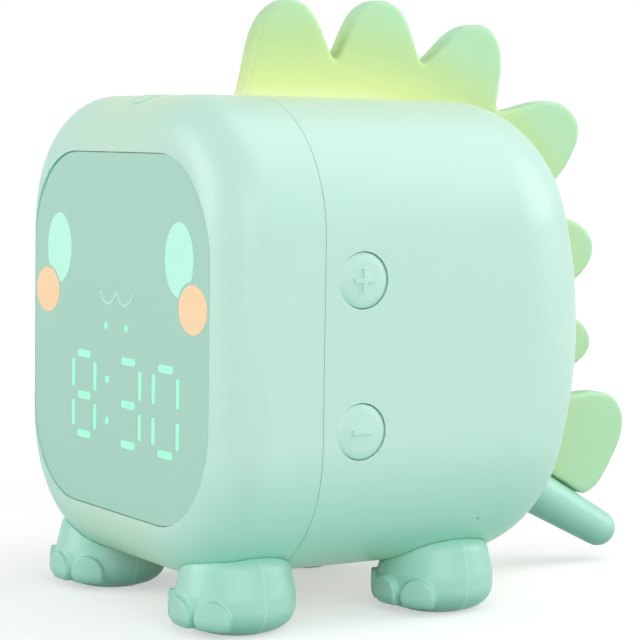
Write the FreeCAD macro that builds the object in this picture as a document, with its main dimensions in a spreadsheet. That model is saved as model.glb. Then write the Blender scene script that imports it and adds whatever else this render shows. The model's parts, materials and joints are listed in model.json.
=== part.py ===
import FreeCAD
import Part
import Sketcher
import math
import os
import re

# Bedside alarm clock with a night light, shaped as a small dinosaur with a cube body.
# X runs across the clock, the face looks towards -Y, Z is up and the pads stand on Z = 0.
# The origin is the middle of the whole clock's length, tail included. Sizes are in millimetres.

SIZES = {
    # Body
    "body_width": 92, "body_depth": 98, "body_height": 95.5, "ground_clearance": 9.5,
    "corner_radius": 27.7, "front_radius": 10, "rear_radius": 24.2, "dome_radius": 94.2,
    "wall": 2.4, "front_depth": 21.6, "seam_gap": 0.12, "fit_gap": 0.15,
    "tongue_width": 26, "tongue_thickness": 4.6, "tongue_reach": 6,
    # Face panel and the light box behind it
    "panel_width": 77.4, "panel_height": 73, "panel_radius": 20, "panel_thickness": 1,
    "panel_recess": 0.45, "panel_ledge": 3, "panel_drop": 0.45, "film_thickness": 0.12,
    "eye_spacing": 53.3, "eye_height": 15.75, "eye_width_radius": 5.7, "eye_height_radius": 7.3,
    "cheek_spacing": 64.6, "cheek_height": 6.45, "cheek_width_radius": 5.6, "cheek_height_radius": 4.8,
    "cheek_ring": 0.6,
    "mouth_height": 9.05, "mouth_radius": 3.7, "mouth_line": 0.5, "mouth_depth": 2.4,
    "nostril_spacing": 9, "nostril_height": 0.75, "nostril_radius": 0.75,
    "lightbox_margin": 1.2, "lightbox_depth": 5.8, "board_thickness": 1.6,
    "board_side_gap": 1.6, "board_end_gap": 15.35, "display_board_corner": 8,
    "stack_hole_inset_x": 3.5, "stack_hole_inset_z": 8, "stack_post_radius": 2.6,
    "stack_spacer_length": 4.4, "screw_radius": 1, "screw_head_radius": 1.9,
    "screw_head_height": 1.3, "screw_grip": 3.4,
    # Digits
    "digit_centre_z": -14.25, "colon_x": -3.8, "digit_left": 10.65, "digit_right": 9.45, "digit_pitch": 15.95,
    "digit_width": 10.1, "digit_height": 16.8, "segment_width": 2, "segment_long": 5.9,
    "segment_wide": 5.6, "colon_spacing": 8.5, "diffuser_depth": 2, "chip_width": 1.4,
    "chip_height": 0.7,
    # Crest
    "crest_thickness": 5.5, "crest_front": 28.1, "crest_valley": 8, "crest_flange": 1.5,
    "crest_flange_width": 16, "flank_low_place": 0.35, "flank_low_share": 0.62, "flank_high_place": 0.75,
    "spike_width_1": 22.3, "spike_width_2": 21.6, "spike_width_3": 17.1,
    "spike_width_4": 20.3, "spike_width_5": 19.7, "spike_width_6": 16,
    "spike_height_1": 20.7, "spike_height_2": 21.4, "spike_height_3": 21.4,
    "spike_height_4": 25.9, "spike_height_5": 24, "spike_height_6": 22.9,
    "spike_lean_1": 0.5, "spike_lean_2": 0.9, "spike_lean_3": 1,
    "spike_lean_4": -3.3, "spike_lean_5": -0.2, "spike_lean_6": -0.3,
    "front_bulge_1": 3.6, "front_bulge_2": 2.4, "front_bulge_3": 2.8,
    "front_bulge_4": 3.9, "front_bulge_5": 2.9, "front_bulge_6": 2.6,
    "rear_bulge_1": 2, "rear_bulge_2": 2.4, "rear_bulge_3": 2.4,
    "rear_bulge_4": 2.5, "rear_bulge_5": 2.4, "rear_bulge_6": 2.2,
    "clamp_width": 32, "clamp_length": 36, "clamp_thickness": 2, "clamp_start": 31,
    "tail_spike_height": 23.5, "light_board_width": 20, "light_chip_count": 6,
    # Tail
    "tail_reach": 32, "tail_root_radius": 5.9, "tail_tip_radius": 4.2, "tail_angle": 27.6,
    "tail_tip_height": 7.4, "tail_root_inset": 13, "tail_screw_length": 14, "tail_boss_start": 0,
    # Feet
    "foot_spacing": 54.4, "foot_front": 13.4, "foot_rear": 61.2, "foot_radius": 12,
    "foot_top_radius": 10.2, "foot_round": 5, "foot_top_round": 3.5, "foot_lift": 0.4,
    "foot_height": 15.5, "toe_angle": 39, "toe_width": 3.7, "toe_low": 1.7, "toe_height": 2.2,
    "toe_stand": 1.3, "nail_round": 3.5,
    "pad_radius": 6.5, "pad_thickness": 1, "foot_boss_radius": 3.2, "foot_boss_height": 5,
    # Keys on the two sides
    "key_radius": 5.4, "key_gap": 0.2, "key_slack": 0.45, "key_depth": 30.3, "key_spacing": 29.3,
    "key_rise": -2.25, "key_dome": 0.7, "key_flange": 0.8, "key_flange_thickness": 1,
    "key_stem_radius": 1.4, "key_stem_length": 3.1, "key_travel": 0.6, "key_mark": 4.6,
    "key_mark_line": 0.9, "key_stem_room": 1.2, "key_mark_height": 0.3,
    "switch_size": 6, "switch_height": 3.5, "key_board_width": 10, "key_board_length": 40,
    "key_post_spacing": 12, "key_post_radius": 2.2,
    # Charging socket and alarm switch at the back
    "rear_board_x": -21, "rear_board_width": 18, "rear_board_height": 20,
    "rear_board_z": -15.75, "rear_board_depth": 82, "socket_width": 9, "socket_height": 3.3,
    "socket_length": 8, "socket_drop": 4.5, "slider_rise": 5, "slider_width": 3.6,
    "slider_height": 2.6, "slider_travel": 3, "slider_stand": 0.6, "slider_setback": 3.1, "slide_switch_width": 8.8,
    "slide_switch_height": 4.4, "slide_switch_depth": 3.4, "rear_post_radius": 1.9,
    # Battery, loudspeaker, microphone and touch pad
    "cell_radius": 9.1, "cell_length": 50, "cell_depth": 38, "tray_wall": 1.6,
    "tray_leg_height": 6.6, "tray_leg_width": 24, "speaker_radius": 11, "speaker_depth": 58.8,
    "speaker_height": 5, "gasket_thickness": 1, "magnet_radius": 6.5, "magnet_height": 3,
    "grille_hole_radius": 0.9, "grille_pitch": 3.6, "microphone_radius": 3,
    "microphone_height": 2.2, "microphone_depth": 62.5, "microphone_angle": 38,
    "pinhole_radius": 0.4, "touch_radius": 4.2, "touch_depth": 8, "touch_foil": 0.4,
}

# Places worked out from the sizes above
DERIVED = {
    "front_y": "-(body_depth + tail_reach) / 2",
    "mid_z": "ground_clearance + body_height / 2",
    "parting_y": "front_y + front_depth",
    "inner_top_z": "ground_clearance + body_height - wall",
    "inner_floor_z": "ground_clearance + wall",
    "inner_side_x": "body_width / 2 - wall",
    "panel_z": "mid_z - panel_drop",
    "display_board_width": "2 * (inner_side_x - board_side_gap)",
    "display_board_height": "body_height - 2 * (wall + board_end_gap)",
    "stack_hole_spacing_x": "display_board_width - 2 * stack_hole_inset_x",
    "stack_hole_spacing_z": "display_board_height - 2 * stack_hole_inset_z",
    "panel_front_y": "front_y + panel_recess",
    "panel_back_y": "panel_front_y + panel_thickness",
    "board_front_y": "panel_back_y + lightbox_depth",
    "board_back_y": "board_front_y + board_thickness",
    "main_front_y": "board_back_y + stack_spacer_length",
    "main_back_y": "main_front_y + board_thickness",
    "key_y": "front_y + key_depth",
    "key_seat_x": "inner_side_x - key_slack - key_flange_thickness",
    "key_board_x": "key_seat_x - switch_height - key_stem_length + key_stem_room",
    "rear_board_y": "front_y + rear_board_depth",
    "rear_board_back_y": "rear_board_y + board_thickness",
    "speaker_y": "front_y + speaker_depth",
    "cell_y": "front_y + cell_depth",
    "cell_z": "inner_floor_z + tray_leg_height + tray_wall + cell_radius + fit_gap",
    "clamp_top_z": "inner_top_z - crest_flange",
    "clamp_y": "front_y + clamp_start + clamp_length / 2",
    "slider_length": "body_depth + slider_stand - slider_setback - rear_board_depth"
                     " - board_thickness - slide_switch_depth - fit_gap",
    "tail_tip_y": "front_y + body_depth + tail_reach - tail_tip_radius",
    "tail_length": "(tail_reach - tail_tip_radius + tail_root_inset) / cos(tail_angle * 1 deg)",
    "tail_root_y": "front_y + body_depth - tail_root_inset",
    "tail_root_z": "tail_tip_height + tail_length * sin(tail_angle * 1 deg)",
    "crest_end_z": "tail_root_z + tail_root_radius * 0.76",
}

doc = FreeCAD.newDocument("DinosaurClock")
sheet = doc.addObject("Spreadsheet::Sheet", "Sheet")
for row, (alias, value) in enumerate(SIZES.items(), 1):
    sheet.set(f"A{row}", alias)
    sheet.set(f"B{row}", str(value))
    sheet.setAlias(f"B{row}", alias)
doc.recompute()
NODES = []


def formula(text):
    """Writes a formula of size names as an expression on the sheet."""
    def replace(match):
        word = match.group(0)
        if word in DERIVED:
            return f"({formula(DERIVED[word])})"
        return f"Sheet.{word}" if word in SIZES else word
    return re.sub(r"[a-z_][a-z_0-9]*", replace, str(text))


def size(alias):
    """Reads one size from the sheet, as a number."""
    return float(getattr(sheet, alias))


def value(word):
    """Works out one place from the sizes, as a number."""
    probe = doc.addObject("App::FeaturePython", "probe_" + word)
    probe.addProperty("App::PropertyFloat", "Answer")
    probe.setExpression("Answer", formula(word))
    doc.recompute([probe])
    answer = float(probe.Answer)
    doc.removeObject(probe.Name)
    return answer


def bind(thing, **formulas):
    """Ties properties to formulas; in a property's path a double underscore stands for a dot."""
    for path, text in formulas.items():
        thing.setExpression(path.replace("__", "."), formula(text))
    return thing


def place(thing, x="0", y="0", z="0", turn=None):
    """Puts an object at a formula's place, turned about one axis if a turn is given."""
    if turn:
        thing.Placement = FreeCAD.Placement(FreeCAD.Vector(), FreeCAD.Rotation(*turn))
    return bind(thing, Placement__Base__x=x, Placement__Base__y=y, Placement__Base__z=z)


def node(thing, name):
    """Names an object as a finished sub-part."""
    thing.Label = name
    NODES.append(thing)
    return thing


TO_FRONT = (FreeCAD.Vector(1, 0, 0), 90)
TO_BACK = (FreeCAD.Vector(1, 0, 0), -90)
TO_RIGHT = (FreeCAD.Vector(0, 1, 0), 90)
TO_LEFT = (FreeCAD.Vector(0, 1, 0), -90)


def block(name, length, width, height, x="0", y="0", z="0"):
    """A box centred on x, y and z."""
    box = bind(doc.addObject("Part::Box", name), Length=length, Width=width, Height=height)
    return place(box, f"{x} - ({length}) / 2", f"{y} - ({width}) / 2", f"{z} - ({height}) / 2")


def slab(name, length, depth, height, x, y_start, z):
    """A box centred on x and z that starts at y_start and runs back by its depth."""
    return block(name, length, depth, height, x, f"{y_start} + ({depth}) / 2", z)


def rod(name, radius, length, x="0", y="0", z="0", turn=None):
    """A cylinder that starts at x, y and z and runs along Z, or along the turned axis."""
    cylinder = bind(doc.addObject("Part::Cylinder", name), Radius=radius, Height=length)
    return place(cylinder, x, y, z, turn)


def fuse(name, shapes):
    """One object made of several, joined where they touch."""
    result = doc.addObject("Part::MultiFuse", name)
    result.Shapes = shapes
    return result


def cut(name, base, tools):
    """An object less one or more tools."""
    result = doc.addObject("Part::Cut", name)
    result.Base = base
    result.Tool = tools[0] if len(tools) == 1 else fuse(name + "_tools", tools)
    return result


def common(name, first, second):
    """What two objects share."""
    result = doc.addObject("Part::Common", name)
    result.Base = first
    result.Tool = second
    return result


def group(name, shapes):
    """Separate solids kept together as one sub-part."""
    result = doc.addObject("Part::Compound", name)
    result.Links = shapes
    return result


def origin_plane(body, role):
    """A body's own origin plane."""
    return next(item for item in body.Origin.OriginFeatures if item.Role == role)


def sketch_on(body, name, role):
    """An empty sketch on one of the body's origin planes."""
    sketch = body.newObject("Sketcher::SketchObject", name)
    sketch.AttachmentSupport = [(origin_plane(body, role), "")]
    sketch.MapMode = "FlatFace"
    return sketch


def draw_rectangle(sketch, width, height):
    """A rectangle centred on the sketch's origin."""
    corners = [FreeCAD.Vector(x, y, 0) for x, y in ((-9, -9), (9, -9), (9, 9), (-9, 9))]
    for i in range(4):
        sketch.addGeometry(Part.LineSegment(corners[i], corners[(i + 1) % 4]))
    for i in range(4):
        sketch.addConstraint(Sketcher.Constraint("Coincident", i, 2, (i + 1) % 4, 1))
        sketch.addConstraint(Sketcher.Constraint("Vertical" if i % 2 else "Horizontal", i))
    sketch.addConstraint(Sketcher.Constraint("Symmetric", 0, 1, 2, 1, -1, 1))
    across = sketch.addConstraint(Sketcher.Constraint("DistanceX", 0, 1, 0, 2, 18))
    up = sketch.addConstraint(Sketcher.Constraint("DistanceY", 1, 1, 1, 2, 18))
    sketch.setExpression(f"Constraints[{across}]", formula(width))
    sketch.setExpression(f"Constraints[{up}]", formula(height))


def draw_profile(sketch, points):
    """A closed outline of straight lines, each corner held at a pair of formulas."""
    count = len(points)
    starts = [FreeCAD.Vector(3 * math.cos(2 * math.pi * i / count) + 9,
                             3 * math.sin(2 * math.pi * i / count) + 9, 0) for i in range(count)]
    for i in range(count):
        sketch.addGeometry(Part.LineSegment(starts[i], starts[(i + 1) % count]))
    for i, (across, up) in enumerate(points):
        sketch.addConstraint(Sketcher.Constraint("Coincident", i, 2, (i + 1) % count, 1))
        for kind, place_on_axis, text in (("DistanceX", starts[i].x, across),
                                          ("DistanceY", starts[i].y, up)):
            held = sketch.addConstraint(Sketcher.Constraint(kind, -1, 1, i, 1, place_on_axis))
            sketch.setExpression(f"Constraints[{held}]", formula(text))


def edges_where(shape, test):
    """Names of the edges whose end points all pass a test."""
    return [f"Edge{i}" for i, edge in enumerate(shape.Edges, 1)
            if all(test(vertex.Point) for vertex in edge.Vertexes)]


def round_edges(body, base, names, radius, name):
    """A fillet on named edges of a body's last feature."""
    fillet = body.newObject("PartDesign::Fillet", name)
    fillet.Base = (base, names)
    bind(fillet, Radius=radius)
    doc.recompute()
    return fillet


def pad_body(name, width, height, thickness, corner, x, y, z):
    """A plate with rounded corners that stands across Y, starting at y and running back."""
    body = place(doc.addObject("PartDesign::Body", name), x, y, z)
    sketch = sketch_on(body, name + "_outline", "XZ_Plane")
    draw_rectangle(sketch, width, height)
    pad = body.newObject("PartDesign::Pad", name + "_pad")
    pad.Profile = sketch
    pad.Reversed = True
    bind(pad, Length=thickness)
    doc.recompute()
    upright = [f"Edge{i}" for i, edge in enumerate(pad.Shape.Edges, 1)
               if abs(edge.Vertexes[0].Y - edge.Vertexes[-1].Y) > 1e-6]
    round_edges(body, pad, upright, corner, name + "_corners")
    return body


def turned_body(name, points, x="0", y="0", z="0", turn=None):
    """A body turned about its own Z axis from an outline of (radius, height) formulas."""
    body = place(doc.addObject("PartDesign::Body", name), x, y, z, turn)
    sketch = sketch_on(body, name + "_outline", "XZ_Plane")
    draw_profile(sketch, points)
    turned = body.newObject("PartDesign::Revolution", name + "_turned")
    turned.Profile = sketch
    turned.ReferenceAxis = (sketch, ["V_Axis"])
    turned.Angle = 360
    doc.recompute()
    return body


def screw(name, grip, x, y, z, turn=None):
    """A pan-head screw: its head's seat is at x, y, z and the shank runs along the axis."""
    points = [("0", "-screw_head_height"), ("screw_head_radius", "-screw_head_height"),
              ("screw_head_radius", "0"), ("screw_radius", "0"),
              ("screw_radius", grip), ("0", grip)]
    return turned_body(name, points, x, y, z, turn)


def body_form(name, inset):
    """The clock's rounded body, drawn in by an inset: flat front, crowned back."""
    body = place(doc.addObject("PartDesign::Body", name), "0", f"front_y + {inset}", "mid_z")
    outline = sketch_on(body, name + "_outline", "XZ_Plane")
    draw_rectangle(outline, f"body_width - 2 * ({inset})", f"body_height - 2 * ({inset})")
    pad = body.newObject("PartDesign::Pad", name + "_pad")
    pad.Profile = outline
    pad.Reversed = True
    bind(pad, Length=f"body_depth - ({inset})")
    doc.recompute()
    long_edges = [f"Edge{i}" for i, edge in enumerate(pad.Shape.Edges, 1)
                  if abs(edge.Vertexes[0].Y - edge.Vertexes[-1].Y) > 1e-6]
    corners = round_edges(body, pad, long_edges, f"corner_radius - ({inset})", name + "_corners")
    radius = f"(dome_radius - ({inset}))"
    middle = f"(body_depth - dome_radius - ({inset}))"
    crown = sketch_on(body, name + "_crown", "YZ_Plane")
    centre = size("body_depth") - size("dome_radius")
    reach = size("dome_radius")
    crown.addGeometry(Part.ArcOfCircle(
        Part.Circle(FreeCAD.Vector(centre, 0, 0), FreeCAD.Vector(0, 0, 1), reach),
        0, math.radians(80)))
    rim = crown.getPoint(0, 2)
    far = centre + reach + 9
    crown.addGeometry(Part.LineSegment(rim, FreeCAD.Vector(far, rim.y, 0)))
    crown.addGeometry(Part.LineSegment(FreeCAD.Vector(far, rim.y, 0), FreeCAD.Vector(far, 0, 0)))
    crown.addGeometry(Part.LineSegment(FreeCAD.Vector(far, 0, 0),
                                       FreeCAD.Vector(centre + reach, 0, 0)))
    for first, end, second, start in ((0, 2, 1, 1), (1, 2, 2, 1), (2, 2, 3, 1), (3, 2, 0, 1)):
        crown.addConstraint(Sketcher.Constraint("Coincident", first, end, second, start))
    crown.addConstraint(Sketcher.Constraint("Horizontal", 1))
    crown.addConstraint(Sketcher.Constraint("Vertical", 2))
    crown.addConstraint(Sketcher.Constraint("PointOnObject", 0, 3, -1))
    crown.addConstraint(Sketcher.Constraint("PointOnObject", 0, 1, -1))
    crown.addConstraint(Sketcher.Constraint("PointOnObject", 2, 2, -1))
    held = ((Sketcher.Constraint("Radius", 0, reach), radius),
            (Sketcher.Constraint("DistanceX", -1, 1, 0, 3, centre), middle),
            (Sketcher.Constraint("DistanceY", -1, 1, 0, 2, rim.y), f"{radius} * 0.98"),
            (Sketcher.Constraint("DistanceX", 0, 1, 2, 2, 9), "rear_radius"))
    for constraint, text in held:
        index = crown.addConstraint(constraint)
        crown.setExpression(f"Constraints[{index}]", formula(text))
    groove = body.newObject("PartDesign::Groove", name + "_groove")
    groove.Profile = crown
    groove.ReferenceAxis = (crown, ["H_Axis"])
    groove.Angle = 360
    doc.recompute()
    rear = edges_where(groove.Shape, lambda point: point.y > size("body_depth") / 2)
    rounded = round_edges(body, groove, rear, f"rear_radius - ({inset})", name + "_rear")
    front = edges_where(rounded.Shape, lambda point: point.y < 1e-6)
    round_edges(body, rounded, front, f"front_radius - ({inset})", name + "_front")
    return body


outer = body_form("outer_form", "0")
inner = body_form("inner_form", "wall")
liner = body_form("liner_form", "wall + crest_flange")
foil_form = body_form("foil_form", "wall + touch_foil")


def screw_place(x_sign, z_sign):
    """Place of one of the four screws that hold the display boards."""
    return f"{x_sign} * stack_hole_spacing_x / 2", f"mid_z + {z_sign} * stack_hole_spacing_z / 2"


CORNERS = [(x_sign, z_sign) for x_sign in (-1, 1) for z_sign in (-1, 1)]
SIDES = [(-1, "left"), (1, "right")]
FEET = [("front_left", -1, "foot_front"), ("front_right", 1, "foot_front"),
        ("rear_left", -1, "foot_rear"), ("rear_right", 1, "foot_rear")]


def shell_half(name, start, depth):
    """The hollow shell between two planes across Y."""
    span = slab(name + "_span", "2 * body_width", depth, "2 * body_height", "0", start, "mid_z")
    return cut(name + "_hollow", common(name + "_solid", outer, span), [inner])


def foot_hole(name, x_sign, depth, radius, length, z):
    """A round solid that stands on one foot's screw axis."""
    return rod(name, radius, length, f"{x_sign} * foot_spacing / 2", f"front_y + {depth}", z)


def make_front_shell():
    """Front shell with the panel's recess, board posts, tongues and front foot bosses."""
    half = shell_half("front_shell", "front_y", "front_depth - seam_gap / 2")
    recess = pad_body("panel_recess_cut", "panel_width + 2 * fit_gap", "panel_height + 2 * fit_gap",
                      "panel_recess + panel_thickness", "panel_radius + fit_gap",
                      "0", "front_y", "panel_z")
    window = pad_body("panel_window_cut", "panel_width - 2 * panel_ledge",
                      "panel_height - 2 * panel_ledge", "2 * wall", "panel_radius - panel_ledge",
                      "0", "front_y", "panel_z")
    posts = []
    bores = []
    for index, (x_sign, z_sign) in enumerate(CORNERS, 1):
        x, z = screw_place(x_sign, z_sign)
        posts.append(rod(f"stack_post_{index}", "stack_post_radius",
                         "board_front_y - front_y - wall * 0.8", x, "board_front_y", z, TO_FRONT))
        bores.append(rod(f"stack_bore_{index}", "screw_radius + fit_gap", "screw_grip + fit_gap",
                         x, "board_front_y", z, TO_FRONT))
    tongues = []
    for z_sign, edge in ((1, "inner_top_z"), (-1, "inner_floor_z")):
        middle = f"{edge} - {z_sign} * (tongue_thickness / 2 + fit_gap)"
        tongues.append(slab(f"tongue_{z_sign + 2}", "tongue_width", "tongue_reach + 7",
                            "tongue_thickness", "0", "parting_y - 7", middle))
        tongues.append(slab(f"tongue_root_{z_sign + 2}", "tongue_width", "7 - seam_gap / 2",
                            "tongue_thickness", "0", "parting_y - 7",
                            f"{middle} + {z_sign} * 2 * fit_gap"))
    for side, name in SIDES:
        bores.append(rod(f"shell_screw_bore_{name}", "screw_radius + fit_gap",
                         "tongue_thickness + wall", f"{side} * tongue_width / 4",
                         "parting_y + tongue_reach / 2", "inner_floor_z"))
    bosses = []
    for name, x_sign, depth in FEET[:2]:
        bosses.append(common(f"boss_{name}", inner,
                             foot_hole(f"boss_rod_{name}", x_sign, depth, "foot_boss_radius",
                                       "foot_boss_height + wall + 2", "inner_floor_z - 2")))
        bores.append(foot_hole(f"boss_bore_{name}", x_sign, depth, "screw_radius + fit_gap",
                               "foot_boss_height + wall + 9", "ground_clearance - 3"))
    body = fuse("front_shell_body", [half] + [cut("front_posts", fuse("front_posts_raw", posts),
                                                  [window])] + tongues + bosses)
    return node(cut("front_shell", body, [recess, window] + bores), "front_shell")


def key_places():
    """Each key's name, its side and the formula of its height."""
    upper = "mid_z + key_rise + key_spacing / 2"
    lower = "mid_z + key_rise - key_spacing / 2"
    return [("plus_key", 1, upper), ("minus_key", 1, lower),
            ("set_key", -1, upper), ("alarm_key", -1, lower)]


def grille_places():
    """Formulas of the loudspeaker's sound holes: one in the middle and two rings."""
    places = [("0", "speaker_y")]
    for ring, count in ((1, 6), (2, 12)):
        for step in range(count):
            turn = 360 * step / count
            places.append((f"{ring} * grille_pitch * cos({turn} deg)",
                           f"speaker_y + {ring} * grille_pitch * sin({turn} deg)"))
    return places


def make_rear_shell():
    """Rear shell with its posts, and the openings for crest, keys, socket, switch and sound."""
    half = shell_half("rear_shell", "parting_y + seam_gap / 2", "body_depth")
    added = []
    holes = [block("crest_slot", "crest_thickness + 2 * fit_gap", "2 * body_depth", "body_height",
                   "0", "front_y + crest_front - fit_gap + body_depth",
                   "crest_end_z + body_height / 2")]
    for name, side, z in key_places():
        turn = TO_RIGHT if side > 0 else TO_LEFT
        holes.append(rod(name + "_hole", "key_radius + key_gap", "3 * wall",
                         f"{side} * (inner_side_x - wall)", "key_y", z, turn))
    for side, name in SIDES:
        turn = TO_RIGHT if side > 0 else TO_LEFT
        for step in (-1, 1):
            z = f"mid_z + key_rise + {step} * key_post_spacing / 2"
            added.append(rod(f"key_post_{name}_{step + 2}", "key_post_radius",
                             "inner_side_x - key_board_x + wall / 2",
                             f"{side} * key_board_x", "key_y", z, turn))
            holes.append(rod(f"key_post_bore_{name}_{step + 2}", "screw_radius + fit_gap",
                             "screw_grip + fit_gap", f"{side} * key_board_x", "key_y", z, turn))
        holes.append(rod(f"shell_screw_hole_{name}", "screw_radius + fit_gap", "3 * wall",
                         f"{side} * tongue_width / 4", "parting_y + tongue_reach / 2",
                         "ground_clearance - wall"))
        holes.append(rod(f"shell_screw_sink_{name}", "screw_head_radius + fit_gap",
                         "screw_head_height + wall", f"{side} * tongue_width / 4",
                         "parting_y + tongue_reach / 2", "ground_clearance - wall"))
    for name, x_sign, depth in FEET[2:]:
        added.append(common(f"boss_{name}", inner,
                            foot_hole(f"boss_rod_{name}", x_sign, depth, "foot_boss_radius",
                                      "foot_boss_height + wall + 2", "inner_floor_z - 2")))
        holes.append(foot_hole(f"boss_bore_{name}", x_sign, depth, "screw_radius + fit_gap",
                               "foot_boss_height + wall + 9", "ground_clearance - 3"))
    for step in (-1, 1):
        x, z = rear_post_place(step)
        added.append(common(f"rear_post_{step + 2}", outer,
                            rod(f"rear_post_rod_{step + 2}", "rear_post_radius", "body_depth",
                                x, "rear_board_back_y", z, TO_BACK)))
        holes.append(rod(f"rear_post_bore_{step + 2}", "screw_radius + fit_gap",
                         "screw_grip + fit_gap", x, "rear_board_back_y", z, TO_BACK))
    for x_sign, end in ((-1, 0), (1, 0), (-1, 1), (1, 1)):
        x, y = clamp_screw_place(x_sign, end)
        added.append(rod(f"clamp_post_{x_sign + 2}_{end}", "key_post_radius",
                         "crest_flange + wall / 2", x, y, "clamp_top_z"))
        holes.append(rod(f"clamp_bore_{x_sign + 2}_{end}", "screw_radius + fit_gap",
                         "crest_flange + wall / 3", x, y, "clamp_top_z"))
    holes.append(slab("socket_hole", "socket_width + 4 * fit_gap", "body_depth",
                      "socket_height + 4 * fit_gap", "rear_board_x", "rear_board_back_y",
                      "mid_z + rear_board_z - socket_drop"))
    holes.append(slab("slider_slot", "slider_width + slider_travel + 4 * fit_gap", "body_depth",
                      "slider_height + 4 * fit_gap", "rear_board_x", "rear_board_back_y",
                      "mid_z + rear_board_z + slider_rise"))
    for index, (x, y) in enumerate(grille_places(), 1):
        holes.append(rod(f"grille_hole_{index}", "grille_hole_radius", "4 * wall", x, y,
                         "ground_clearance - wall"))
    holes.append(pinhole("pinhole", "pinhole_radius", "-3 * wall", "6 * wall"))
    added.append(common("tail_boss", inner, tail_rod("tail_boss_rod", "2 * screw_head_radius",
                                                     "tail_boss_start", "2 * wall + 6")))
    holes.append(tail_rod("tail_screw_hole", "screw_radius + fit_gap", "tail_boss_start - 1",
                          "tail_screw_length + 4"))
    body = fuse("rear_shell_body", [half] + added)
    return node(cut("rear_shell", body, holes), "rear_shell")


def aim_at_tail(thing, start):
    """Puts an object on the tail's axis, a distance past its root, with Z towards the tip."""
    thing.Placement = FreeCAD.Placement(
        FreeCAD.Vector(), FreeCAD.Rotation(FreeCAD.Vector(-1, 0, 0), 90))
    bind(thing, Placement__Rotation__Angle="90 deg + tail_angle * 1 deg")
    return place(thing, "0", f"tail_root_y + ({start}) * cos(tail_angle * 1 deg)",
                 f"tail_root_z - ({start}) * sin(tail_angle * 1 deg)")


def tail_rod(name, radius, start, length):
    """A cylinder on the tail's axis, from a distance past its root."""
    cylinder = bind(doc.addObject("Part::Cylinder", name), Radius=radius, Height=length)
    return aim_at_tail(cylinder, start)


def rear_post_place(step):
    """Place of one of the rear board's two screws."""
    x = f"rear_board_x + {step} * (rear_board_width / 2 - rear_post_radius - 0.6)"
    z = f"mid_z + rear_board_z - {step} * (rear_board_height / 2 - rear_post_radius - 0.6)"
    return x, z


def clamp_screw_place(x_sign, end):
    """Place of one of the crest clamp's four screws; end 0 is the front pair, 1 the rear."""
    x = f"{x_sign} * (clamp_width / 2 - screw_head_radius - 0.6)"
    y = f"front_y + clamp_start + 4 + {end} * (clamp_length - 8)"
    return x, y


def pinhole(name, radius, start, length):
    """A rod square to the lower right edge, at the microphone."""
    cylinder = bind(doc.addObject("Part::Cylinder", name), Radius=radius, Height=length)
    slope = "microphone_angle * 1 deg"
    cylinder.Placement = FreeCAD.Placement(
        FreeCAD.Vector(), FreeCAD.Rotation(FreeCAD.Vector(0, 1, 0), 90))
    bind(cylinder, Placement__Rotation__Angle="90 deg + microphone_angle * 1 deg")
    reach = f"(corner_radius - wall + ({start}))"
    return place(cylinder,
                 f"body_width / 2 - corner_radius + {reach} * cos({slope})",
                 "front_y + microphone_depth",
                 f"ground_clearance + corner_radius - {reach} * sin({slope})")


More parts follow.
